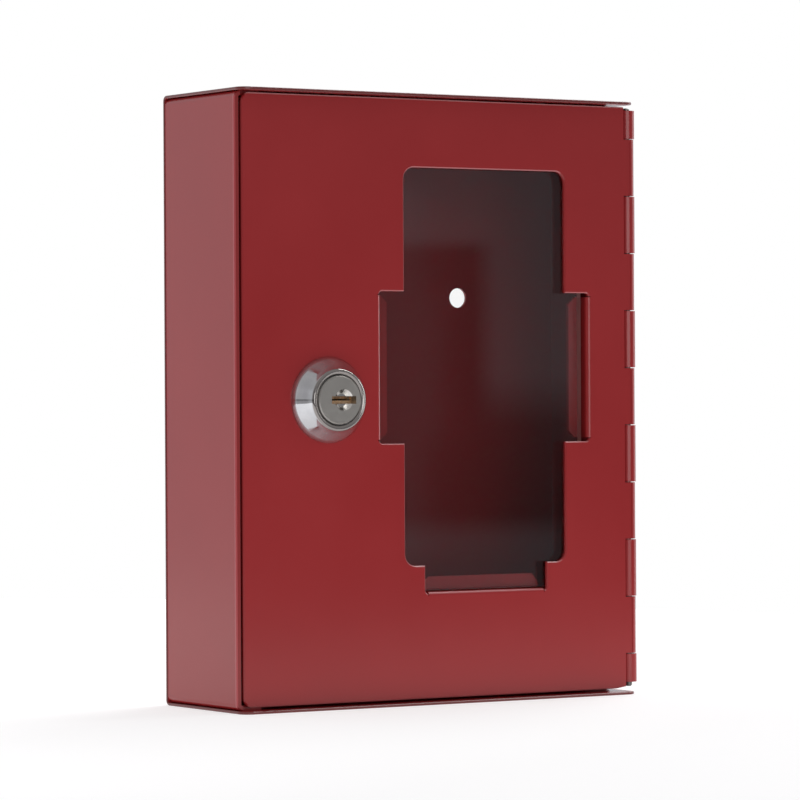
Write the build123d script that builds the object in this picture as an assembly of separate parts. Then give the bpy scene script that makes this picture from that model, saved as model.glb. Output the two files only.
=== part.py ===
from build123d import *
import math
import os

# Break-glass key box: a sheet-steel case, a glazed door on a rolled hinge, and a cam lock.
# Millimetres. The origin is the middle of the bottom plate's underside, +Z is up,
# and the door faces -Y with its hinge on the +X side.

# Case
case_width = 119.4
case_depth = 39.5
case_height = 155.0
shell_gauge = 0.7
shell_bend = 0.7
plate_corner = 3.0
wall_gauge = 1.2
wall_bend = 0.5
wall_inset = 0.2
wall_edge = 0.3
wall_flange = 8.0
corner_relief = 0.7
plate_edge = 0.15

# Wall screw holes in the back panel
screw_hole_d = 5.2
screw_hole_spacing = 56.5
screw_hole_rise = 26.8

# Door leaf
door_gauge = 1.0
door_recess = 3.7
door_side_gap = 0.8
door_top_gap = 0.4
door_bottom_gap = 0.7
door_corner = 2.5
rim_edge = 0.3
door_relief_x = 3.2
door_relief_z = 0.5

# Window in the door, with the two wings and the tab that the pane's lugs are folded from
window_margin = 13.25
window_lock_gap = 15.75
window_height = 101.2
window_rise = 8.35
window_corner = 3.0
wing_width = 7.0
wing_height = 38.6
wing_drop = 0.2
tab_step = 6.0
tab_height = 6.7
cut_corner = 1.0

# Folded lugs and the pane that they hold
lug_bend = 0.1
lug_slit = 0.2
lug_channel = 3.5
lug_return = 3.7
lug_corner = 1.8
pane_thickness = 3.0
pane_front_gap = 0.2
pane_left_gap = 0.3
pane_right_gap = 1.25
pane_corner = 0.8
pane_bottom_gap = 0.3
pane_top_lap = 6.0

# Rolled hinge
pin_d = 1.8
pin_clearance = 0.05
door_knuckles = 5
hinge_margin = 2.5
knuckle_gap = 0.2
knuckle_proud = 0.12
curl_open = 15.0
slot_clearance = 0.15
hinge_lift = 0.5
hinge_notch = 9.0
pin_top = 0.7
pin_bottom = 1.2
pin_chamfer = 0.3

# Cam lock
lock_inset = 27.0
head_base_d = 21.6
head_face_d = 15.8
head_height = 5.6
head_rim = 0.5
head_round = 0.6
mouth_d = 12.9
mouth_depth = 1.2
barrel_d = 17.0
barrel_flats = 15.0
barrel_length = 17.0
barrel_clearance = 0.1
plug_d = 11.0
plug_head_d = 12.3
plug_head_depth = 2.0
plug_clearance = 0.05
plug_proud = 0.2
plug_edge = 0.3
key_slot_width = 7.1
key_slot_height = 1.9
key_slot_x = 1.1
key_recess_d = 5.4
key_recess_floor_d = 3.2
key_recess_depth = 1.3
key_slot_depth = 14.0
wafer_first = 2.2
wafer_pitch = 2.1
wafer_gauge = 0.8
wafer_width = 8.0
wafer_x = 0.9
wafer_height = 9.6
wafer_window_width = 6.9
wafer_window_height = 2.1
wafer_clearance = 0.05
wafer_steps = (0.9, -0.75, 0.6, -0.85, 0.7)
wafer_count = len(wafer_steps)
lock_washer_d = 22.0
lock_washer_gauge = 0.8
nut_across_flats = 21.0
nut_height = 3.0
nut_chamfer = 0.8
drive_square = 5.6
drive_clearance = 0.05
axial_play = 0.1
stop_gauge = 1.0
stop_d = 14.4
stop_dog_width = 2.4
stop_dog_depth = 1.4
stop_dog_gauge = 1.2
cam_gauge = 1.6
cam_reach = 24.0
cam_width = 13.0
cam_washer_d = 8.0
cam_washer_gauge = 0.8
cam_screw_d = 4.0
cam_screw_length = 8.0
cam_screw_head_d = 7.0
cam_screw_head = 2.4
cam_screw_cross = 1.0

# Strike that the cam turns behind, on the left wall
strike_gauge = 1.2
strike_height = 24.0
strike_reach = 7.6
strike_foot = 12.0
strike_bend = 0.6
strike_clearance = 1.2

# Key hook on the back panel
hook_rise = 38.5
hook_gauge = 1.0
hook_base_width = 12.0
hook_base_height = 16.0
hook_width = 5.0
hook_reach = 7.0
hook_tip = 6.0
hook_bend = 0.6

# Places worked out from the sizes above
front_y = -case_depth / 2
back_y = case_depth / 2
left_x = -case_width / 2
right_x = case_width / 2
ceiling_z = case_height - shell_gauge
floor_z = shell_gauge
middle_z = case_height / 2
panel_y = back_y - shell_gauge
wall_front_y = front_y + door_recess
left_wall_x = left_x + wall_inset
right_wall_x = right_x - wall_inset
door_front_y = wall_front_y
door_back_y = door_front_y + door_gauge
door_left_x = left_wall_x + wall_gauge + door_side_gap
door_bottom_z = floor_z + door_bottom_gap
door_top_z = ceiling_z - door_top_gap
bore_r = pin_d / 2 + pin_clearance
door_knuckle_r = bore_r + door_gauge
case_knuckle_r = bore_r + wall_gauge
hinge_x = right_wall_x + bore_r
hinge_y = door_front_y + door_knuckle_r - knuckle_proud
knuckle_pitch = (case_height - 2 * hinge_margin) / (2 * door_knuckles)
hinge_mid_z = middle_z + hinge_lift
hinge_half = knuckle_pitch * door_knuckles
hinge_top_z = hinge_mid_z + hinge_half
hinge_bottom_z = hinge_mid_z - hinge_half
door_slot_x = hinge_x - math.sqrt((case_knuckle_r + slot_clearance) ** 2 - bore_r**2)
wall_slot_y = hinge_y + math.sqrt((door_knuckle_r + slot_clearance) ** 2 - bore_r**2)
screw_hole_z = middle_z + screw_hole_rise
lock_x = left_x + lock_inset
lock_z = middle_z
ledge_left_x = lock_x + window_lock_gap
ledge_right_x = right_x - window_margin
ledge_half = (ledge_right_x - ledge_left_x) / 2
window_x = (ledge_left_x + ledge_right_x) / 2
window_z = middle_z + window_rise
window_width = 2 * (ledge_half - wing_width)
tab_width = window_width - 2 * tab_step
wing_z = window_z - wing_drop
hook_z = middle_z + hook_rise
ledge_bottom_z = window_z - window_height / 2 - tab_height
lug_fold = lug_bend + door_gauge
lug_back_y = door_back_y + lug_channel
barrel_end_y = door_front_y + barrel_length
plug_shoulder_y = door_front_y - head_height - plug_proud + plug_head_depth
stop_y = barrel_end_y + axial_play
cam_y = stop_y + stop_gauge
cam_end_y = cam_y + cam_gauge


def block(x, y, z):
    """A box between two limits on each axis."""
    size = (x[1] - x[0], y[1] - y[0], z[1] - z[0])
    middle = ((x[0] + x[1]) / 2, (y[0] + y[1]) / 2, (z[0] + z[1]) / 2)
    return Pos(*middle) * Box(*size)


def turned(radius, y0, y1, x=lock_x, z=lock_z):
    """A cylinder along Y between two planes, on the lock's axis unless told otherwise."""
    return Pos(x, (y0 + y1) / 2, z) * Rot(90, 0, 0) * Cylinder(radius, y1 - y0)


def edges_at(shape, direction, **limits):
    """The edges along one axis whose middles lie on the given coordinates."""
    found = []
    for edge in shape.edges().filter_by(direction):
        middle = edge.center()
        if all(abs(getattr(middle, name) - value) < 0.01 for name, value in limits.items()):
            found.append(edge)
    return found


def case_shell():
    """Back panel with the top and bottom plates, folded from one sheet."""
    outer = block((left_x, right_x), (front_y, back_y), (0, case_height))
    hollow = block((left_x, right_x), (front_y, panel_y), (floor_z, ceiling_z))
    shell = outer - hollow
    inner = [*edges_at(shell, Axis.X, Y=panel_y, Z=floor_z), *edges_at(shell, Axis.X, Y=panel_y, Z=ceiling_z)]
    shell = fillet(inner, shell_bend)
    outside = [*edges_at(shell, Axis.X, Y=back_y, Z=0), *edges_at(shell, Axis.X, Y=back_y, Z=case_height)]
    shell = fillet(outside, shell_bend + shell_gauge)
    corners = [edge for edge in shell.edges().filter_by(Axis.Z) if abs(edge.center().Y - front_y) < 0.01]
    shell = fillet(corners, plate_corner)
    folds = [edge for edge in shell.edges().filter_by(Axis.X) if edge.center().Y > front_y + plate_corner]
    seams = [edge for edge in shell.edges().filter_by(Axis.Z) if edge.length < 2 * shell_gauge]
    outline = [edge for edge in shell.edges() if edge not in folds and edge not in seams]
    shell = chamfer(outline, plate_edge)
    for side in (-1, 1):
        shell -= turned(screw_hole_d / 2, panel_y, back_y, side * screw_hole_spacing / 2, screw_hole_z)
    return shell


def side_wall(side):
    """A side wall with flanges turned in along its top and bottom, on the left at -1."""
    outside = left_wall_x if side < 0 else right_wall_x
    inside = outside - side * wall_gauge
    rim = outside - side * wall_flange
    wall = block(sorted((outside, rim)), (wall_front_y, panel_y), (floor_z, ceiling_z))
    z_in = (floor_z + wall_gauge, ceiling_z - wall_gauge)
    wall -= block(sorted((inside, rim)), (wall_front_y, panel_y), z_in)
    wall = fillet([edge for z in z_in for edge in edges_at(wall, Axis.Y, X=inside, Z=z)], wall_bend)
    bends = [edge for z in (floor_z, ceiling_z) for edge in edges_at(wall, Axis.Y, X=outside, Z=z)]
    wall = fillet(bends, wall_bend + wall_gauge)
    for z in ((floor_z, floor_z + corner_relief), (ceiling_z - corner_relief, ceiling_z)):
        wall -= block(sorted((outside, rim)), (panel_y - corner_relief, panel_y), z)
    return wall


def left_wall():
    """The lock side's wall, whose flanges stop short of the door leaf."""
    wall = side_wall(-1)
    wall = chamfer(edges_at(wall, Axis.Z, X=left_wall_x, Y=wall_front_y), wall_edge)
    past_bend = left_wall_x + wall_bend + wall_gauge
    clear_y = door_back_y + door_side_gap
    return wall - block((past_bend, left_wall_x + wall_flange), (wall_front_y, clear_y), (0, case_height))


def curl(outer_r, start, sweep, z0, z1):
    """A sheet rolled round the hinge axis, from one angle through a sweep, both in degrees."""
    ring = Cylinder(outer_r, z1 - z0) - Cylinder(bore_r, z1 - z0)
    reach = 2 * outer_r
    points = [(0, 0)]
    steps = 4
    for i in range(steps + 1):
        angle = math.radians(start + sweep + (360 - sweep) * i / steps)
        points.append((reach * math.cos(angle), reach * math.sin(angle)))
    opening = extrude(make_face(Polyline(*points, close=True)), z1 - z0)
    ring -= Pos(0, 0, -(z1 - z0) / 2) * opening
    return Pos(hinge_x, hinge_y, (z0 + z1) / 2) * ring


def knuckle_spans(for_door):
    """The heights of the door's knuckles, or of the case's, which end in two half ones."""
    spans = []
    for i in range(door_knuckles):
        top = hinge_top_z - knuckle_pitch * (2 * i + 0.5)
        spans.append((top - knuckle_pitch + knuckle_gap / 2, top - knuckle_gap / 2))
    if for_door:
        return spans
    edges = [hinge_top_z] + [z + side * knuckle_gap for s in spans for z, side in ((s[1], 1), (s[0], -1))]
    edges.append(hinge_bottom_z)
    return [(edges[i + 1], edges[i]) for i in range(0, len(edges), 2)]


def right_wall():
    """The hinge side's wall, with its front edge rolled outwards into knuckles."""
    wall = side_wall(1)
    wall -= block((left_x, right_x), (front_y, hinge_y), (0, case_height))
    notch_y = (front_y, wall_front_y + hinge_notch)
    wall -= block((0, right_x), notch_y, (hinge_top_z, case_height))
    wall -= block((0, right_x), notch_y, (0, hinge_bottom_z))
    inside = right_wall_x - wall_gauge
    wall -= block((0, inside), notch_y, (0, case_height))
    for z0, z1 in knuckle_spans(True):
        slot = (z0 - knuckle_gap, z1 + knuckle_gap)
        wall -= block((0, right_x), (front_y, wall_slot_y), slot)
    for z0, z1 in knuckle_spans(False):
        wall += curl(case_knuckle_r, 180, 270 + curl_open, z0, z1)
    return wall


def hinge_pin():
    """The long pin through every knuckle."""
    top = hinge_top_z + pin_top
    bottom = hinge_bottom_z - pin_bottom
    pin = Pos(hinge_x, hinge_y, (top + bottom) / 2) * Cylinder(pin_d / 2, top - bottom)
    return chamfer(pin.edges().filter_by(GeomType.CIRCLE), pin_chamfer)


def window_cut(y0, y1):
    """The window with its side wings and bottom tab, out to the middle of the lugs' folds."""
    half = window_width / 2
    top = window_z + window_height / 2
    shoulder = window_z - window_height / 2
    wing_half = ledge_half + lug_fold / 2
    tab_bottom = ledge_bottom_z - lug_fold / 2
    face = Pos(window_x, window_z) * Rectangle(window_width, window_height)
    face += Pos(window_x, wing_z) * Rectangle(2 * wing_half, wing_height)
    face += Pos(window_x, (shoulder + tab_bottom) / 2) * Rectangle(tab_width, shoulder - tab_bottom)
    wide = [v for v in face.vertices() if abs(v.Y - top) < 0.01]
    wide += [v for v in face.vertices() if abs(v.Y - shoulder) < 0.01 and abs(abs(v.X - window_x) - half) < 0.01]
    face = fillet(wide, window_corner)
    tight = [v for v in face.vertices() if abs(abs(v.X - window_x) - wing_half) < 0.01]
    tight += [v for v in face.vertices() if abs(v.Y - tab_bottom) < 0.01]
    face = fillet(tight, cut_corner)
    upright = Plane(origin=(0, y1, 0), x_dir=(1, 0, 0), z_dir=(0, -1, 0))
    return extrude(upright * face, y1 - y0)


def lug_foot(length, reach):
    """The strip of leaf beside a ledge at X = 0, as wide as asked."""
    return block((0, reach), (door_front_y, door_back_y), (-length / 2, length / 2))


def lug(length):
    """A lug folded back and then in, drawn for a ledge at X = 0 that faces -X."""
    leg = block((0, door_gauge), (door_front_y, lug_back_y + door_gauge), (-length / 2, length / 2))
    back = block((-lug_return, door_gauge), (lug_back_y, lug_back_y + door_gauge), (-length / 2, length / 2))
    piece = leg + lug_foot(length, 2 * lug_fold) + back
    first = edges_at(piece, Axis.Z, X=0, Y=door_front_y)
    second = edges_at(piece, Axis.Z, X=door_gauge, Y=lug_back_y + door_gauge)
    piece = fillet([*first, *second], lug_fold)
    inside = edges_at(piece, Axis.Z, X=0, Y=lug_back_y)
    inside += edges_at(piece, Axis.Z, X=door_gauge, Y=door_back_y)
    piece = fillet(inside, lug_bend)
    ends = [edge for edge in piece.edges().filter_by(Axis.Y) if abs(edge.center().X + lug_return) < 0.01]
    return chamfer(ends, lug_corner)


def door_leaf():
    """The door: one sheet with its pane lugs folded back and its hinge edge rolled up."""
    leaf = block((door_left_x, hinge_x), (door_front_y, door_back_y), (door_bottom_z, door_top_z))
    left_corners = [edge for edge in leaf.edges().filter_by(Axis.Y) if edge.center().X < 0]
    leaf = fillet(left_corners, door_corner)
    leaf -= window_cut(door_front_y, door_back_y)
    leaf -= block((door_slot_x, hinge_x), (front_y, back_y), (door_bottom_z, door_top_z))
    wedge = [
        (door_slot_x - door_relief_x, door_bottom_z),
        (door_slot_x, door_bottom_z),
        (door_slot_x, door_bottom_z + door_relief_z),
    ]
    upright = Plane(origin=(0, door_back_y, 0), x_dir=(1, 0, 0), z_dir=(0, -1, 0))
    leaf -= extrude(upright * make_face(Polyline(*wedge, close=True)), door_gauge)
    rim = [
        edge for edge in leaf.edges()
        if abs(edge.center().Y - door_front_y) < 0.01 and edge.center().X < door_slot_x - door_relief_x
    ]
    leaf = chamfer(rim, rim_edge)
    right = Pos(ledge_right_x, 0, wing_z)
    left = Pos(ledge_left_x, 0, wing_z) * Rot(0, 180, 0)
    below = Pos(window_x, 0, ledge_bottom_z) * Rot(0, 90, 0)
    for place, length in ((right, wing_height), (left, wing_height), (below, tab_width)):
        straight = length - 2 * cut_corner
        leaf -= place * lug_foot(straight, 2 * lug_fold)
        leaf -= place * lug_foot(straight + 2 * lug_slit, lug_fold)
        leaf += place * lug(straight)
    for z0, z1 in knuckle_spans(True):
        tongue = block((door_slot_x - slot_clearance, hinge_x), (door_front_y, door_back_y), (z0, z1))
        leaf += tongue - Pos(hinge_x, hinge_y, (z0 + z1) / 2) * Cylinder(bore_r, z1 - z0)
        leaf += curl(door_knuckle_r, 270, 270 + curl_open, z0, z1)
    return leaf - lock_hole(door_front_y, door_back_y)


def lock_hole(y0, y1):
    """The double-D hole that keeps the lock from turning in the leaf."""
    radius = barrel_d / 2 + barrel_clearance
    half = barrel_flats / 2 + barrel_clearance
    flats = block((lock_x - half, lock_x + half), (y0, y1), (lock_z - radius, lock_z + radius))
    return turned(radius, y0, y1) & flats


def glass_pane():
    """The pane, which drops into the lugs from above."""
    front = door_back_y + pane_front_gap
    left = ledge_left_x + pane_left_gap
    right = ledge_right_x - pane_right_gap
    bottom = ledge_bottom_z + pane_bottom_gap
    top = window_z + window_height / 2 + pane_top_lap
    pane = block((left, right), (front, front + pane_thickness), (bottom, top))
    return chamfer(pane.edges().filter_by(Axis.Y), pane_corner)


def lock_housing():
    """Chromed head and flatted barrel of the lock, in one casting."""
    face_y = door_front_y - head_height
    base, face = head_base_d / 2, head_face_d / 2
    arc_mid = 1 - math.sqrt(0.5)
    outline = [
        (0, door_front_y),
        (base, door_front_y),
        (base, door_front_y - head_rim),
        (face, face_y + head_round),
        (face - head_round * arc_mid, face_y + head_round * arc_mid),
        (face - head_round, face_y),
        (0, face_y),
    ]
    body = Pos(lock_x, 0, lock_z) * revolve(make_face(Polyline(*outline, close=True)), Axis.Y)
    half = barrel_flats / 2
    flats = block((lock_x - half, lock_x + half), (door_front_y, barrel_end_y), (0, case_height))
    body += turned(barrel_d / 2, door_front_y, barrel_end_y) & flats
    body -= turned(mouth_d / 2, face_y, face_y + mouth_depth)
    body -= turned(plug_head_d / 2 + plug_clearance, face_y, plug_shoulder_y + axial_play)
    body -= turned(plug_d / 2 + plug_clearance, face_y, barrel_end_y)
    return body - stop_notch()


def stop_notch():
    """The quarter cut from the barrel's end that the stop washer's dog turns in."""
    start = barrel_end_y - stop_dog_depth
    near = stop_dog_width / 2 + barrel_clearance
    far = barrel_d / 2
    return block((lock_x - near, lock_x + far), (start, barrel_end_y), (lock_z - near, lock_z + far))


def edges_of_circle(shape, radius, y):
    """The round edges of one radius in one plane across Y."""
    rings = shape.edges().filter_by(GeomType.CIRCLE)
    return [edge for edge in rings if abs(edge.radius - radius) < 0.01 and abs(edge.center().Y - y) < 0.01]


def lock_plug():
    """The core that the key turns, with its keyway, wafer slots and square drive."""
    face_y = plug_shoulder_y - plug_head_depth
    radius = plug_d / 2
    head = turned(plug_head_d / 2, face_y, plug_shoulder_y)
    plug = chamfer(edges_of_circle(head, plug_head_d / 2, face_y), plug_edge)
    plug += turned(radius, plug_shoulder_y, barrel_end_y)
    half = drive_square / 2
    plug += block((lock_x - half, lock_x + half), (barrel_end_y, cam_end_y), (lock_z - half, lock_z + half))
    middle = lock_x + key_slot_x
    slot_x = (middle - key_slot_width / 2, middle + key_slot_width / 2)
    slot_z = (lock_z - key_slot_height / 2, lock_z + key_slot_height / 2)
    plug -= block(slot_x, (face_y, face_y + key_slot_depth), slot_z)
    dish = Cone(key_recess_floor_d / 2, key_recess_d / 2, key_recess_depth)
    plug -= Pos(middle, face_y + key_recess_depth / 2, lock_z) * Rot(90, 0, 0) * dish
    half_width = wafer_width / 2 + wafer_clearance
    for i in range(wafer_count):
        y = wafer_y(i)
        span = (y - wafer_clearance, y + wafer_gauge + wafer_clearance)
        slot = (lock_x + wafer_x - half_width, lock_x + wafer_x + half_width)
        plug -= block(slot, span, (lock_z - radius, lock_z + radius))
    return plug - turned(cam_screw_d / 2, cam_end_y - cam_screw_length, cam_end_y)


def wafer_y(number):
    """The plane in which a wafer starts, counted from the key's end."""
    return door_front_y - head_height + wafer_first + wafer_pitch * number


def wafer(number):
    """One wafer, with the window that the key's blade lifts it by."""
    y, lift = wafer_y(number), wafer_steps[number]
    span = (y, y + wafer_gauge)
    middle = lock_x + wafer_x
    x = (middle - wafer_width / 2, middle + wafer_width / 2)
    plate = block(x, span, (lock_z - wafer_height / 2, lock_z + wafer_height / 2))
    plate &= turned(plug_d / 2 - plug_clearance, *span)
    key_x = lock_x + key_slot_x
    hole_x = (key_x - wafer_window_width / 2, key_x + wafer_window_width / 2)
    hole_z = (lock_z + lift - wafer_window_height / 2, lock_z + lift + wafer_window_height / 2)
    return plate - block(hole_x, span, hole_z)


def lock_washer():
    """The thin washer between the door leaf and the nut."""
    end = door_back_y + lock_washer_gauge
    return turned(lock_washer_d / 2, door_back_y, end) - lock_hole(door_back_y, end)


def lock_nut():
    """The hexagon nut that holds the lock in the door."""
    start = door_back_y + lock_washer_gauge
    end = start + nut_height
    circle_r = nut_across_flats / math.sqrt(3)
    blank = RegularPolygon(circle_r, 6)
    hexagon = extrude(Plane(origin=(lock_x, end, lock_z), x_dir=(1, 0, 0), z_dir=(0, -1, 0)) * blank, nut_height)
    dome = turned(circle_r, start, end)
    dome = chamfer(edges_of_circle(dome, circle_r, end), nut_chamfer)
    return (hexagon & dome) - turned(barrel_d / 2 + pin_clearance, start, end)


def drive_hole(y0, y1):
    """The square hole that fits over the plug's drive."""
    half = drive_square / 2 + drive_clearance
    return block((lock_x - half, lock_x + half), (y0, y1), (lock_z - half, lock_z + half))


def stop_washer():
    """The plate on the drive, whose bent dog limits the quarter turn."""
    end = stop_y + stop_gauge
    radius, half = stop_d / 2, stop_dog_width / 2
    plate = turned(radius, stop_y, end)
    dog_start = stop_y - stop_dog_depth
    plate += block((lock_x - half, lock_x + half), (dog_start, end), (lock_z + radius - stop_dog_gauge, lock_z + radius))
    return plate - drive_hole(stop_y, end)


def lock_cam():
    """The flat cam, hanging down when the lock is open."""
    half = cam_width / 2
    outline = Pos(0, -(cam_reach - half) / 2) * Rectangle(cam_width, cam_reach - half)
    outline += Circle(half)
    outline += Pos(0, -(cam_reach - half)) * Circle(half)
    upright = Plane(origin=(lock_x, cam_end_y, lock_z), x_dir=(1, 0, 0), z_dir=(0, -1, 0))
    return extrude(upright * outline, cam_gauge) - drive_hole(cam_y, cam_end_y)


def cam_washer():
    """The spring washer under the cam screw's head, split on one side."""
    end = cam_end_y + cam_washer_gauge
    ring = turned(cam_washer_d / 2, cam_end_y, end) - turned(cam_screw_d / 2 + pin_clearance, cam_end_y, end)
    half = cam_washer_gauge / 2
    return ring - block((lock_x - half, lock_x + half), (cam_end_y, end), (lock_z, lock_z + cam_washer_d))


def cam_screw():
    """The cross-head screw that holds the cam on the plug."""
    head_y = cam_end_y + cam_washer_gauge
    end = head_y + cam_screw_head
    head = turned(cam_screw_head_d / 2, head_y, end)
    head = chamfer(edges_of_circle(head, cam_screw_head_d / 2, end), cam_screw_head / 3)
    shank_r = cam_screw_d / 2 - pin_clearance
    shank_end = cam_end_y - cam_screw_length + cam_washer_gauge + axial_play
    screw = head + turned(shank_r, shank_end, head_y)
    half, long = cam_screw_cross / 2, cam_screw_head_d / 3
    for x, z in ((half, long), (long, half)):
        screw -= block((lock_x - x, lock_x + x), (end - cam_screw_cross, end), (lock_z - z, lock_z + z))
    return screw


def strike_bracket():
    """The folded strike on the left wall that the cam turns behind."""
    wall_x = left_wall_x + wall_gauge
    face_y = cam_y - strike_clearance - strike_gauge
    z = (lock_z - strike_height / 2, lock_z + strike_height / 2)
    foot = block((wall_x, wall_x + strike_gauge), (face_y, face_y + strike_foot), z)
    face = block((wall_x, wall_x + strike_reach), (face_y, face_y + strike_gauge), z)
    bracket = foot + face
    outside = edges_at(bracket, Axis.Z, X=wall_x, Y=face_y)
    bracket = fillet(outside, strike_bend + strike_gauge)
    inside = edges_at(bracket, Axis.Z, X=wall_x + strike_gauge, Y=face_y + strike_gauge)
    return fillet(inside, strike_bend)


def key_hook():
    """The folded hook on the back panel that the key hangs on."""
    half = hook_base_width / 2
    base_z = (hook_z - hook_base_height / 2, hook_z + hook_base_height / 2)
    base = block((-half, half), (panel_y - hook_gauge, panel_y), base_z)
    tip_y = panel_y - hook_gauge - hook_reach
    shelf_z = (base_z[0], base_z[0] + hook_gauge)
    arm_x = (-hook_width / 2, hook_width / 2)
    shelf = block(arm_x, (tip_y, panel_y), shelf_z)
    tip = block(arm_x, (tip_y, tip_y + hook_gauge), (shelf_z[0], shelf_z[0] + hook_tip))
    hook = base + shelf + tip
    outer = edges_at(hook, Axis.X, Y=tip_y, Z=shelf_z[0])
    hook = fillet(outer, hook_bend + hook_gauge)
    inner = edges_at(hook, Axis.X, Y=tip_y + hook_gauge, Z=shelf_z[1])
    return fillet(inner, hook_bend)


def main_parts():
    """Every piece of the box by its node name."""
    return {
        "case_shell": case_shell(),
        "left_wall": left_wall(),
        "right_wall": right_wall(),
        "hinge_pin": hinge_pin(),
        "strike_bracket": strike_bracket(),
        "key_hook": key_hook(),
        "door_leaf": door_leaf(),
        "glass_pane": glass_pane(),
        "lock_housing": lock_housing(),
        "lock_washer": lock_washer(),
        "lock_nut": lock_nut(),
        "lock_plug": lock_plug(),
        **{f"wafer_{i + 1}": wafer(i) for i in range(wafer_count)},
        "stop_washer": stop_washer(),
        "lock_cam": lock_cam(),
        "cam_washer": cam_washer(),
        "cam_screw": cam_screw(),
    }


os.makedirs("parts", exist_ok=True)
for node, shape in main_parts().items():
    export_step(shape, f"parts/{node}.step")
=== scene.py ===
from math import copysign, hypot, pi, radians, sqrt, tau

import bmesh
import bpy
from mathutils import Matrix, Vector


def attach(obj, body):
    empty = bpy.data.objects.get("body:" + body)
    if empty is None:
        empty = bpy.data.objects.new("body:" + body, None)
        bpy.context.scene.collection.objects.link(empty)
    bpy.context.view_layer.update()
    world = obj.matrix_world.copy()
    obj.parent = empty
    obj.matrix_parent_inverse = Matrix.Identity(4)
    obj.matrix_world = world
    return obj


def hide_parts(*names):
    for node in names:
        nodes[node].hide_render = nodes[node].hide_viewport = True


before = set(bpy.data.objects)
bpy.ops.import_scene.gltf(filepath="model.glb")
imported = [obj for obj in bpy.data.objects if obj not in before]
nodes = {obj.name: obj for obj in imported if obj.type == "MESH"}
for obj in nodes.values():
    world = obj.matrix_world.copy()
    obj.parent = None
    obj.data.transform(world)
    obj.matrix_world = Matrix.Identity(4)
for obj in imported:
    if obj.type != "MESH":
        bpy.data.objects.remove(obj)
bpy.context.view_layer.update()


# --- Case shell: back panel with the top and bottom plates -------------------------------
# One sheet of 0.7 mm mild steel, folded to a U and powder coated red after welding. Spot
# welds along its two sides hold the walls' flanges and leave shallow dimples.

side_face, back_face, mid_height = 0.0597, 0.01975, 0.0775
shell_sheet, wall_sheet = 0.0007, 0.0012
weld_inset, weld_pitch, first_weld = 0.0045, 0.011, -0.009
leaf_back = -0.0150


def linear(hex_colour):
    """An sRGB hex colour as the linear RGBA that Blender's sockets take."""
    parts = [int(hex_colour[i:i + 2], 16) / 255 for i in (1, 3, 5)]
    return (*[c / 12.92 if c <= 0.04045 else ((c + 0.055) / 1.055) ** 2.4 for c in parts], 1.0)


def add_node(owner, kind, links=(), inputs=(), stops=(), **settings):
    """A node with its settings, its sockets' values, a ramp's (position, colour) stops, and
    its (source, socket) links. A source is an output, or a node for its first output."""
    node = owner.node_tree.nodes.new(kind)
    for name, value in settings.items():
        setattr(node, name, value)
    for socket, value in dict(inputs).items():
        node.inputs[socket].default_value = value
    for source, socket in links:
        output = source.outputs[0] if isinstance(source, bpy.types.Node) else source
        owner.node_tree.links.new(output, node.inputs[socket])
    if stops:
        ramp = node.color_ramp.elements
        for element, (position, colour) in zip(ramp, (stops[0], stops[-1])):
            element.position, element.color = position, colour
        for position, colour in stops[1:-1]:
            ramp.new(position).color = colour
    return node


def new_material(name):
    """An empty node material, and the coordinates of the piece that wears it."""
    material = bpy.data.materials.new(name)
    material.use_nodes = True
    material.node_tree.nodes.clear()
    return material, add_node(material, "ShaderNodeTexCoord").outputs


def finish_of(piece, material):
    """Gives a CAD node or a piece its one finish."""
    piece.data.materials.clear()
    piece.data.materials.append(material)


def zone_of(material, *bounds):
    """A mask over part of a piece or of the room. Each bound is a value, where its fade is
    0 and where it is 1, and the mask is the product of the fades."""
    fades = [add_node(material, "ShaderNodeMapRange", [(value, "Value")],
                      {"From Min": outside, "From Max": inside})
             for value, outside, inside in bounds]
    zone = fades[0]
    for fade in fades[1:]:
        zone = add_node(material, "ShaderNodeMath", [(zone, 0), (fade, 1)], operation="MULTIPLY")
    return zone


def off_centre(material, value, centre=0.0):
    """The distance from a centre along one axis."""
    offset = add_node(material, "ShaderNodeMath", [(value, 0)], {1: centre}, operation="SUBTRACT")
    return add_node(material, "ShaderNodeMath", [(offset, 0)], operation="ABSOLUTE")


def facing(material, place):
    """How far a face looks along each axis, from 0 to 1."""
    turned = add_node(material, "ShaderNodeVectorMath", [(place["Normal"], 0)],
                      operation="ABSOLUTE")
    return add_node(material, "ShaderNodeSeparateXYZ", [(turned, "Vector")]).outputs


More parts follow.
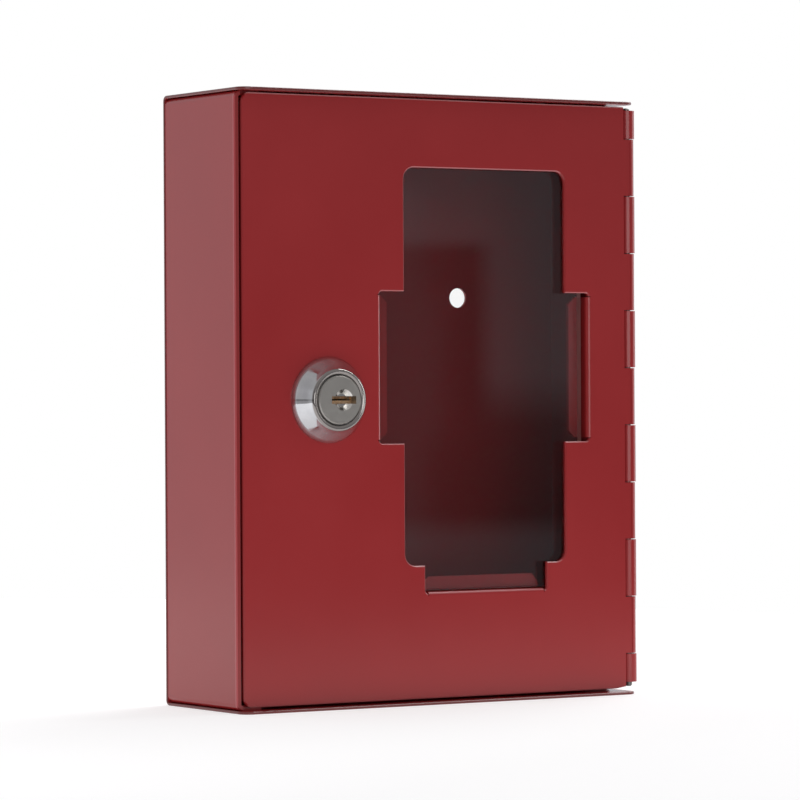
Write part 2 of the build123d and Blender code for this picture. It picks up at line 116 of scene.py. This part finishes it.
# Powder coat, sprayed dry and baked: a semi-gloss skin with a fine orange peel and faint
# thick and thin areas, so its reflections are soft and a little uneven. The peel is drawn
# at 1.2 mm, coarser than a usual one of about 0.7 mm, so that it shows. Each zone, such as
# a cut edge or a fold, takes its own tone. The darker tones inside the box and on the
# shell's edges are painted shade, and the pale tones on rims and edges are painted highlights.
def powder_coat(name, zones, relief=None):
    cloud_size, peel_size, peel_depth, relief_depth = 0.045, 0.0012, 0.00008, 0.00012
    material, place = new_material(name)
    axes = add_node(material, "ShaderNodeSeparateXYZ", [(place["Object"], "Vector")]).outputs
    flow = add_node(material, "ShaderNodeTexNoise", [(place["Object"], "Vector")],
                    {"Scale": 1 / cloud_size, "Detail": 3.0, "Roughness": 0.55})
    colour = add_node(material, "ShaderNodeValToRGB", [(flow, "Fac")],
                      stops=((0.3, linear("#992628")), (0.7, linear("#9f292b")))).outputs[0]
    for tone, zone in zones:
        colour = add_node(material, "ShaderNodeMix",
                          [(zone(material, place, axes), 0), (colour, 6)],
                          {7: linear(tone)}, data_type="RGBA").outputs[2]
    gloss = add_node(material, "ShaderNodeMapRange", [(flow, "Value")],
                     {"From Min": 0.3, "From Max": 0.7, "To Min": 0.19, "To Max": 0.24})
    peel = add_node(material, "ShaderNodeTexNoise", [(place["Object"], "Vector")],
                    {"Scale": 1 / peel_size, "Detail": 2.0, "Roughness": 0.5})
    swell = add_node(material, "ShaderNodeBump", [(peel, "Height")],
                     {"Strength": 0.10, "Distance": peel_depth})
    if relief:
        dents = add_node(material, "ShaderNodeBump", [(relief(material, axes), "Height")],
                         {"Strength": 0.5, "Distance": relief_depth})
        material.node_tree.links.new(dents.outputs[0], swell.inputs["Normal"])
    shader = add_node(material, "ShaderNodeBsdfPrincipled",
                      [(colour, "Base Color"), (gloss, "Roughness"), (swell, "Normal")],
                      {"IOR": 1.5, "Specular IOR Level": 0.5})
    add_node(material, "ShaderNodeOutputMaterial", [(shader, "Surface")])
    return material


def shaded_plate_edges(material, place, axes):
    """The cut edges of the shell, round both plates and down the back panel's sides, in a darker,
    browner tone: painted shade.
    """
    fold_start, fold_end = 0.0160, 0.0170
    round_plates = zone_of(material, (facing(material, place)["Z"], 0.90, 0.80),
                           (axes["Y"], fold_end, fold_start))
    at_sides = zone_of(material, (off_centre(material, axes["X"]),
                                  side_face - 0.00032, side_face - 0.0002))
    return add_node(material, "ShaderNodeMath", [(round_plates, 0), (at_sides, 1)],
                    operation="MAXIMUM")


def weld_dimples(material, axes):
    """The dips of the spot welds, in a row along both sides, from their rims to their floors."""
    rim_radius, floor_radius = 0.0018, 0.0011
    across = add_node(material, "ShaderNodeMath", [(off_centre(material, axes["X"]), 0)],
                      {1: side_face - weld_inset}, operation="SUBTRACT")
    past_first = add_node(material, "ShaderNodeMath", [(axes["Y"], 0)], {1: first_weld},
                          operation="SUBTRACT")
    along = add_node(material, "ShaderNodeMath", [(past_first, 0)], {1: weld_pitch / 2},
                     operation="PINGPONG")
    offset = add_node(material, "ShaderNodeCombineXYZ", [(across, "X"), (along, "Y")])
    distance = add_node(material, "ShaderNodeVectorMath", [(offset, 0)], operation="LENGTH")
    return zone_of(material, (distance.outputs["Value"], floor_radius, rim_radius))


def shaded_inside_faces(material, place, axes):
    """The faces inside the box, which take a darker tone as painted shade."""
    inner_side, inner_level = side_face - wall_sheet, mid_height - shell_sheet
    inner_back = back_face - shell_sheet
    return zone_of(material,
                   (off_centre(material, axes["X"]), inner_side, inner_side - 0.0002),
                   (off_centre(material, axes["Z"], mid_height),
                    inner_level + 0.00004, inner_level + 0.00001),
                   (axes["Y"], inner_back + 0.00025, inner_back + 0.00015),
                   (axes["Y"], leaf_back, leaf_back + 0.002))


# Painted shade: a darker tone for the faces inside the box, where little light reaches.
painted_inside_shade = "#832022"
# The shell's cut edges take a darker, browner tone, painted shade.
finish_of(nodes["case_shell"],
          powder_coat("red_powder_coat_on_shell",
                      ((painted_inside_shade, shaded_inside_faces), ("#70302f", shaded_plate_edges)), weld_dimples))


# --- Side walls, strike and hook ---------------------------------------------------------
# Two 1.2 mm walls spot welded inside the shell, the right one rolled out into hinge
# knuckles. The strike and the hook are folded strips, welded in and coated with the case.

leaf_front_half = (-0.0151, -0.0153)


def wall_front(material, place, axes):
    """The cut edge along the front of the left wall."""
    return zone_of(material, (axes["Y"], -0.01545, -0.01555), (axes["X"], 0.0, -0.001))


def wall_shoulder_highlight(material, place, axes):
    """The line beside that cut edge, painted pale as a highlight."""
    return zone_of(material, (axes["Y"], *leaf_front_half),
                   (facing(material, place)["X"], 0.60, 0.70),
                   (axes["X"], 0.0007 - side_face, 0.0005 - side_face))


# The pale line beside the left wall's front edge is a painted highlight. The inside faces take
# the painted shade.
wall_coat = powder_coat("red_powder_coat_on_walls",
                        ((painted_inside_shade, shaded_inside_faces), ("#8c2b2c", wall_front),
                         ("#b0494d", wall_shoulder_highlight)))
for name in ("left_wall", "right_wall", "strike_bracket", "key_hook"):
    finish_of(nodes[name], wall_coat)


# --- Hinge pin ---------------------------------------------------------------------------
# A length of 1.8 mm drawn steel wire, pushed in after coating, so its ends are bare.

# Bare drawn steel, its grey darkened as painted shade for the pin's shadowed ends, with a
# broken sheen from the draw marks. They are 0.8 mm here, much coarser than real ones, so
# that they show.
draw_mark_size = 0.0008
drawn_wire, place = new_material("drawn_steel_wire")
draw_marks = add_node(drawn_wire, "ShaderNodeTexNoise", [(place["Object"], "Vector")],
                      {"Scale": 1 / draw_mark_size, "Detail": 3.0})
wire_gloss = add_node(drawn_wire, "ShaderNodeMapRange", [(draw_marks, "Value")],
                      {"From Min": 0.3, "From Max": 0.7, "To Min": 0.35, "To Max": 0.5})
# The dark grey base is painted shade.
wire_shader = add_node(drawn_wire, "ShaderNodeBsdfPrincipled", [(wire_gloss, "Roughness")],
                       {"Base Color": linear("#6d6a68"), "Metallic": 1.0})
add_node(drawn_wire, "ShaderNodeOutputMaterial", [(wire_shader, "Surface")])
finish_of(nodes["hinge_pin"], drawn_wire)


# --- Door leaf ---------------------------------------------------------------------------
# One 1 mm blank, its cross-shaped window punched out, three tongues folded back to hold the
# pane and its hinge edge rolled into knuckles. Its rims and top bevel are painted paler as
# highlights.

leaf_top = 0.1536


def painted_rim_highlight(material, place, axes):
    """The bevelled rims and tight folds of the leaf, left of the rolled knuckles, painted paler
    as highlights. The rims that face left get no highlight, as they face away from the light."""
    parts = facing(material, place)
    steeper = add_node(material, "ShaderNodeMath", [(parts["X"], 0), (parts["Y"], 1)],
                       operation="MAXIMUM")
    steepest = add_node(material, "ShaderNodeMath", [(steeper, 0), (parts["Z"], 1)],
                        operation="MAXIMUM")
    normal = add_node(material, "ShaderNodeSeparateXYZ", [(place["Normal"], "Vector")]).outputs
    return zone_of(material, (steepest, 0.92, 0.86), (normal["X"], -0.45, -0.35),
                   (axes["X"], 0.0555, 0.0550), (axes["Y"], *leaf_front_half))


def top_rim_highlight(material, place, axes):
    """The bevel along the leaf's top edge, painted palest as a highlight."""
    return zone_of(material, (axes["Z"], leaf_top - 0.00002, leaf_top + 0.00002),
                   (axes["Y"], *leaf_front_half))


# The pale tones on the leaf's rims and top bevel are painted highlights.
finish_of(nodes["door_leaf"],
          powder_coat("red_powder_coat_on_leaf",
                      (("#b96466", painted_rim_highlight), ("#eebfc0", top_rim_highlight))))


# --- Glass pane --------------------------------------------------------------------------
# 3 mm float glass, cut to a rectangle, its edges ground.

# Clear glass with ground edges: the faces are clean and sharp, while the edges are matt, and
# their red tone is painted light, standing in for the red of the paint around them.
float_glass, place = new_material("clear_float_glass")
ground_edge = zone_of(float_glass, (facing(float_glass, place)["Y"], 0.5, 0.4))
edge_gloss = add_node(float_glass, "ShaderNodeMapRange", [(ground_edge, "Value")],
                      {"To Min": 0.0, "To Max": 0.35})
# Painted light: the ground edges' red tone.
painted_edge_red = add_node(float_glass, "ShaderNodeMix", [(ground_edge, 0)],
                     {6: linear("#ffffff"), 7: linear("#b0524d")}, data_type="RGBA")
clearness = add_node(float_glass, "ShaderNodeMapRange", [(ground_edge, "Value")],
                     {"To Min": 1.0, "To Max": 0.0})
glass_shader = add_node(float_glass, "ShaderNodeBsdfPrincipled",
                        [(painted_edge_red.outputs[2], "Base Color"), (edge_gloss, "Roughness"),
                         (clearness, "Transmission Weight")], {"IOR": 1.52})
add_node(float_glass, "ShaderNodeOutputMaterial", [(glass_shader, "Surface")])
finish_of(nodes["glass_pane"], float_glass)


# --- Lock housing ------------------------------------------------------------------------
# A zinc casting, polished and chrome plated, with a conical head and a flatted barrel. A
# fine thread of 1 mm pitch runs along the barrel.

# Polished chrome plate: a mirror, with a slight haze from handling in patches of 3 mm. The
# ring round the plug was turned and not buffed, so it is darker and softer.
haze_size, turned_face, turned_edge = 0.003, (-0.02158, -0.02162), (-0.0211, -0.0214)
chrome, place = new_material("polished_chrome_plate")
along_y = add_node(chrome, "ShaderNodeSeparateXYZ", [(place["Object"], "Vector")]).outputs["Y"]
ring_face = zone_of(chrome, (along_y, *turned_face))
ring_and_edge = zone_of(chrome, (along_y, *turned_edge))
haze = add_node(chrome, "ShaderNodeTexNoise", [(place["Object"], "Vector")],
                {"Scale": 1 / haze_size, "Detail": 4.0, "Roughness": 0.65})
polish = add_node(chrome, "ShaderNodeMapRange", [(haze, "Value")],
                  {"From Min": 0.3, "From Max": 0.7, "To Min": 0.04, "To Max": 0.10})
chrome_gloss = add_node(chrome, "ShaderNodeMath", [(ring_face, 0), (polish, 2)], {1: 0.16},
                        operation="MULTIPLY_ADD")
chrome_tone = add_node(chrome, "ShaderNodeValToRGB", [(haze, "Fac")],
                       stops=((0.35, linear("#c8c9cd")), (0.65, linear("#d3d4d7"))))
ring_tone = add_node(chrome, "ShaderNodeMix", [(ring_and_edge, 0), (chrome_tone, 6)],
                     {7: linear("#9a9592")}, data_type="RGBA")
chrome_shader = add_node(chrome, "ShaderNodeBsdfPrincipled",
                         [(ring_tone.outputs[2], "Base Color"), (chrome_gloss, "Roughness")],
                         {"Metallic": 1.0})
add_node(chrome, "ShaderNodeOutputMaterial", [(chrome_shader, "Surface")])


def cut_off(shape, point, outward, close=True):
    """Cuts a shape at a plane. Closed, it loses what lies beyond and gets a face there."""
    cut = bmesh.ops.bisect_plane(shape, geom=shape.verts[:] + shape.edges[:] + shape.faces[:],
                                 dist=1e-7, plane_co=point, plane_no=outward,
                                 clear_outer=close)
    if close:
        rims = [part for part in cut["geom_cut"] if isinstance(part, bmesh.types.BMEdge)]
        bmesh.ops.edgeloop_fill(shape, edges=rims)


def piece_from(shape, name, material):
    """Makes a finished shape a piece of the scene."""
    data = bpy.data.meshes.new(name)
    shape.to_mesh(data)
    shape.free()
    piece = bpy.data.objects.new(name, data)
    bpy.context.scene.collection.objects.link(piece)
    finish_of(piece, material)
    return piece


lock_axis = (-0.0327, 0.0, 0.0775)
thread_start, thread_end, thread_pitch = -0.0150, -0.0005, 0.001
crest_radius, root_radius, half_flats = 0.0085, 0.00795, 0.0075
shoulder, merge_distance = 0.00005, 1e-6

# The casting itself, its barrel brought down to the root of the thread from just behind the
# door leaf on. The flats stay where they are.
casting = bmesh.new()
casting.from_mesh(nodes["lock_housing"].data)
bmesh.ops.remove_doubles(casting, verts=casting.verts, dist=merge_distance)
for cut_at in (thread_start - shoulder, thread_start):
    cut_off(casting, (0, cut_at, 0), (0, 1, 0), close=False)
for vert in casting.verts:
    across, up = vert.co.x - lock_axis[0], vert.co.z - lock_axis[2]
    if vert.co.y > thread_start - shoulder / 2 and hypot(across, up) > root_radius:
        vert.co.z = lock_axis[2] + copysign(sqrt(root_radius ** 2 - across ** 2), up)
bmesh.ops.remove_doubles(casting, verts=casting.verts, dist=merge_distance)
bmesh.ops.dissolve_degenerate(casting, edges=casting.edges, dist=merge_distance)

# The thread's ridge, wound along the barrel and cut off at the flats. It is sunk a little
# into the root, and ends short of the notch in the barrel's end.
turns, turn_steps, sunk = 16, 48, 0.00005
foot_share, crest_share = 0.44, 0.07
ridge = bmesh.new()
section = [ridge.verts.new((lock_axis[0] + radius, thread_start + share * thread_pitch,
                            lock_axis[2]))
           for radius, share in ((root_radius - sunk, -foot_share),
                                 (crest_radius, -crest_share),
                                 (crest_radius, crest_share),
                                 (root_radius - sunk, foot_share))]
section_face = ridge.faces.new(section)
bmesh.ops.spin(ridge, geom=[section_face, *section_face.edges, *section], cent=lock_axis,
               axis=(0, 1, 0), dvec=(0, thread_pitch / turn_steps, 0), angle=turns * tau,
               steps=turns * turn_steps)
cut_off(ridge, (0, thread_start, 0), (0, -1, 0))
cut_off(ridge, (0, thread_end, 0), (0, 1, 0))
for side in (-1, 1):
    cut_off(ridge, (lock_axis[0] + side * (half_flats - 0.00002), 0, 0), (side, 0, 0))
bmesh.ops.recalc_face_normals(ridge, faces=ridge.faces)
ridge_data = bpy.data.meshes.new("thread_ridge")
ridge.to_mesh(ridge_data)
ridge.free()
casting.from_mesh(ridge_data)
bpy.data.meshes.remove(ridge_data)

# The finished housing stands in for the plain casting.
housing = piece_from(casting, "threaded_housing", chrome)
housing.data.shade_smooth()
housing.data.set_sharp_from_angle(angle=radians(25))
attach(housing, "door")
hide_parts("lock_housing")


# --- Lock plug and wafers ----------------------------------------------------------------
# The plug is a turned zinc core, nickel plated, with a coned mouth for the key. The five
# wafers are stamped from brass sheet.

# Satin nickel: a soft grey with a fine grit, 0.6 mm here and so coarser than a real one, so
# that it shows. The cone of the mouth is polished, so it is brighter and sharper.
grit_size, grit_depth = 0.0006, 0.00005
mouth_centre, mouth_radius = (-0.0316, 0.0, 0.0775), 0.00272
satin_nickel, place = new_material("satin_nickel_face")
grit = add_node(satin_nickel, "ShaderNodeTexNoise", [(place["Object"], "Vector")],
                {"Scale": 1 / grit_size, "Detail": 3.0, "Roughness": 0.6})
sheen = add_node(satin_nickel, "ShaderNodeMapRange", [(grit, "Value")],
                 {"From Min": 0.3, "From Max": 0.7, "To Min": 0.36, "To Max": 0.46})
from_mouth = add_node(satin_nickel, "ShaderNodeVectorMath", [(place["Object"], 0)],
                      {1: mouth_centre}, operation="SUBTRACT")
across_axis = add_node(satin_nickel, "ShaderNodeVectorMath", [(from_mouth, 0)],
                       {1: (1.0, 0.0, 1.0)}, operation="MULTIPLY")
distance = add_node(satin_nickel, "ShaderNodeVectorMath", [(across_axis, 0)],
                    operation="LENGTH")
in_mouth = zone_of(satin_nickel, (distance.outputs["Value"], mouth_radius, mouth_radius - 0.0001))
mouth_share = add_node(satin_nickel, "ShaderNodeMapRange", [(in_mouth, "Value")],
                       {"To Min": 1.0, "To Max": 0.5})
face_gloss = add_node(satin_nickel, "ShaderNodeMath", [(sheen, 0), (mouth_share, 1)],
                      operation="MULTIPLY")
face_tone = add_node(satin_nickel, "ShaderNodeMix", [(in_mouth, 0)],
                     {6: linear("#a7a49f"), 7: linear("#dddbd7")}, data_type="RGBA")
pits = add_node(satin_nickel, "ShaderNodeBump", [(grit, "Height")],
                {"Strength": 0.12, "Distance": grit_depth})
nickel_shader = add_node(satin_nickel, "ShaderNodeBsdfPrincipled",
                         [(face_tone.outputs[2], "Base Color"), (face_gloss, "Roughness"),
                          (pits, "Normal")], {"Metallic": 1.0})
add_node(satin_nickel, "ShaderNodeOutputMaterial", [(nickel_shader, "Surface")])
finish_of(nodes["lock_plug"], satin_nickel)

# Stamped brass: a dull yellow brown, with tarnished spots just under 1 mm across and
# brighter, smoother metal where the key rubs between them.
rubbed_size = 0.0009
brass, place = new_material("stamped_brass")
rubbing = add_node(brass, "ShaderNodeTexNoise", [(place["Object"], "Vector")],
                   {"Scale": 1 / rubbed_size, "Detail": 3.0, "Roughness": 0.6})
tarnish = add_node(brass, "ShaderNodeValToRGB", [(rubbing, "Fac")],
                   stops=((0.35, linear("#a97f5c")), (0.62, linear("#d9b792"))))
brass_gloss = add_node(brass, "ShaderNodeMapRange", [(rubbing, "Value")],
                       {"From Min": 0.3, "From Max": 0.7, "To Min": 0.5, "To Max": 0.34})
brass_shader = add_node(brass, "ShaderNodeBsdfPrincipled",
                        [(tarnish, "Base Color"), (brass_gloss, "Roughness")],
                        {"Metallic": 1.0})
add_node(brass, "ShaderNodeOutputMaterial", [(brass_shader, "Surface")])
for number in range(1, 6):
    finish_of(nodes[f"wafer_{number}"], brass)


# --- Lock nut, washers, cam and screw ----------------------------------------------------
# Pressed and turned mild steel, all zinc plated in one barrel.

# Bright zinc plate: a cool pale grey, with a cloudy bloom some 4 mm across that varies its
# tone and its sheen.
bloom_size = 0.004
zinc_plate, place = new_material("bright_zinc_plate")
bloom = add_node(zinc_plate, "ShaderNodeTexNoise", [(place["Object"], "Vector")],
                 {"Scale": 1 / bloom_size, "Detail": 4.0, "Roughness": 0.6})
zinc_gloss = add_node(zinc_plate, "ShaderNodeMapRange", [(bloom, "Value")],
                      {"From Min": 0.3, "From Max": 0.7, "To Min": 0.26, "To Max": 0.42})
zinc_tone = add_node(zinc_plate, "ShaderNodeValToRGB", [(bloom, "Fac")],
                     stops=((0.35, linear("#b3b7bb")), (0.65, linear("#c6c8c8"))))
zinc_shader = add_node(zinc_plate, "ShaderNodeBsdfPrincipled",
                       [(zinc_tone, "Base Color"), (zinc_gloss, "Roughness")],
                       {"Metallic": 1.0})
add_node(zinc_plate, "ShaderNodeOutputMaterial", [(zinc_shader, "Surface")])
for name in ("lock_washer", "lock_nut", "stop_washer", "lock_cam", "cam_washer", "cam_screw"):
    finish_of(nodes[name], zinc_plate)


# --- Studio ------------------------------------------------------------------------------
# A round white table in a pale room. It glows a little, more so toward the back left: painted
# light, a pool from a lit backdrop that isn't there, so that its rim runs out into the white.

# White laminate, quite matt, so the table shows soft shadows and no reflections, with a painted
# glow.
table_white, place = new_material("white_table")
to_back_left = add_node(table_white, "ShaderNodeVectorMath", [(place["Object"], 0)],
                        {1: (-0.534, 0.845, 0)}, operation="DOT_PRODUCT")
painted_table_glow = add_node(table_white, "ShaderNodeMapRange", [(to_back_left.outputs["Value"], "Value")],
                {"From Min": -0.1, "From Max": 0.35, "To Min": 0.55, "To Max": 0.9})
table_shader = add_node(table_white, "ShaderNodeBsdfPrincipled", [(painted_table_glow, "Emission Strength")],
                        {"Base Color": linear("#bcbcbd"), "Roughness": 0.9,
                         "Specular IOR Level": 0.1, "Emission Color": (1, 1, 1, 1)})
add_node(table_white, "ShaderNodeOutputMaterial", [(table_shader, "Surface")])
table_top = bmesh.new()
bmesh.ops.create_circle(table_top, cap_ends=True, radius=0.474, segments=96)
bmesh.ops.translate(table_top, verts=table_top.verts, vec=(-0.14, 0.16, 0.0))
piece_from(table_top, "studio_table", table_white)


# The room that the box reflects: pale behind, dim in front, with a soft ceiling. The tones
# of its walls run from the front to the back.
room = bpy.data.worlds.new("studio_room")
bpy.context.scene.world = room
room.use_nodes = True
room.node_tree.nodes.clear()
toward = add_node(room, "ShaderNodeTexCoord").outputs["Generated"]
heading = add_node(room, "ShaderNodeSeparateXYZ", [(toward, "Vector")]).outputs
slant = add_node(room, "ShaderNodeVectorMath", [(toward, 0)], {1: (0.2, 1.0, 0.0)},
                 operation="DOT_PRODUCT")
rearward = add_node(room, "ShaderNodeMapRange", [(slant.outputs["Value"], "Value")],
                    {"From Min": -1.0, "From Max": 1.0})
walls = add_node(room, "ShaderNodeValToRGB", [(rearward, "Fac")],
                 stops=((0.14, (0.15, 0.15, 0.16, 1)), (0.30, (0.25, 0.24, 0.24, 1)),
                        (0.46, (0.47, 0.47, 0.48, 1)), (0.80, (0.9, 0.9, 0.94, 1))))

# In front it has level bands, which give the glass and the chrome something to show: a pale
# floor, a dark field and a pale wall above, that comes down lower past the room's corner.
def grey(share):
    """A neutral tone, as a share of white."""
    return (share, share, share, 1)


near_level = add_node(room, "ShaderNodeMapRange", [(heading["Z"], "Value")],
                      {"From Min": -0.1, "From Max": 0.1})
dark_side, pale_side = (
    add_node(room, "ShaderNodeValToRGB", [(near_level, "Fac")],
             stops=[(position, grey(share)) for position, share in upward])
    for upward in (((0.32, 1.4), (0.35, 0.45), (0.67, 0.55), (0.69, 1.8)),
                   ((0.32, 1.4), (0.35, 0.45), (0.46, 0.55), (0.52, 1.7))))
rightward = add_node(room, "ShaderNodeVectorMath", [(toward, 0)], {1: (0.834, 0.552, 0)},
                     operation="DOT_PRODUCT")
past_corner = zone_of(room, (rightward.outputs["Value"], -0.003, 0.003))
bands = add_node(room, "ShaderNodeMix", [(past_corner, 0), (dark_side, 6), (pale_side, 7)],
                 data_type="RGBA")
in_front = zone_of(room, (heading["Y"], 0.2, -0.3))
banded = add_node(room, "ShaderNodeMix",
                  [(in_front, 0), (walls, 6), (bands.outputs[2], 7)],
                  data_type="RGBA", blend_type="MULTIPLY")
above = add_node(room, "ShaderNodeMapRange", [(heading["Z"], "Value")],
                 {"From Min": 0.35, "From Max": 0.6}, interpolation_type="SMOOTHSTEP")
reflected = add_node(room, "ShaderNodeMix", [(above, 0), (banded.outputs[2], 6)],
                     {7: (0.45, 0.44, 0.44, 1)}, data_type="RGBA")

# Seen directly, or straight through the glass, the room is plain white.
path = add_node(room, "ShaderNodeLightPath").outputs
bounces = add_node(room, "ShaderNodeMath",
                   [(path["Diffuse Depth"], 0), (path["Glossy Depth"], 1)], operation="ADD")
direct = add_node(room, "ShaderNodeMath", [(bounces, 0)], {1: 0.5}, operation="LESS_THAN")
through = add_node(room, "ShaderNodeMath", [(direct, 0), (path["Is Transmission Ray"], 1)],
                   operation="MULTIPLY")
seen = add_node(room, "ShaderNodeMath", [(through, 0), (path["Is Camera Ray"], 1)],
                operation="MAXIMUM")
backdrop = add_node(room, "ShaderNodeMix", [(seen, 0), (reflected.outputs[2], 6)],
                    {7: (1, 1, 1, 1)}, data_type="RGBA")
sky = add_node(room, "ShaderNodeBackground", [(backdrop.outputs[2], "Color")],
               {"Strength": 1.0})
add_node(room, "ShaderNodeOutputWorld", [(sky, "Surface")])

# Three softboxes: the key high at the back right, one low in front, a narrow strip on the
# right for the hinge.
for name, stand, aim_at, width, height, power in (
        ("key_softbox", (0.72, 0.25, 0.95), (0, 0, 0.05), 0.8, 0.6, 8.0),
        ("front_softbox", (-0.25, -1.5, 0.2), (0, 0, 0.08), 1.2, 0.5, 4.4),
        ("right_strip", (0.95, -0.15, 0.12), (0, 0, 0.08), 0.25, 0.7, 1.2)):
    light = bpy.data.lights.new(name, "AREA")
    light.shape, light.size, light.size_y, light.energy = "RECTANGLE", width, height, power
    lamp = bpy.data.objects.new(name, light)
    lamp.location = stand
    lamp.rotation_euler = (Vector(stand) - Vector(aim_at)).to_track_quat("Z", "Y").to_euler()
    bpy.context.scene.collection.objects.link(lamp)

# The camera stands level with the middle of the case, to its left, on a long lens.
azimuth, elevation, roll = radians(-32.3015), radians(0.1099), radians(-0.2901)
aim_point, camera_distance = Vector((-0.0137687, -0.01975, 0.0774029)), 1.033674
lens = bpy.data.cameras.new("camera")
lens.sensor_width, lens.lens, lens.clip_end = 36.0, 184.37805, 50.0
turn = (Matrix.Rotation(azimuth, 4, "Z") @ Matrix.Rotation(pi / 2 - elevation, 4, "X")
        @ Matrix.Rotation(roll, 4, "Z"))
backward = turn.to_3x3() @ Vector((0, 0, 1))
camera = bpy.data.objects.new("camera", lens)
camera.matrix_world = Matrix.Translation(aim_point + camera_distance * backward) @ turn
bpy.context.scene.collection.objects.link(camera)
bpy.context.scene.camera = camera
bpy.context.scene.view_settings.view_transform = "Standard"
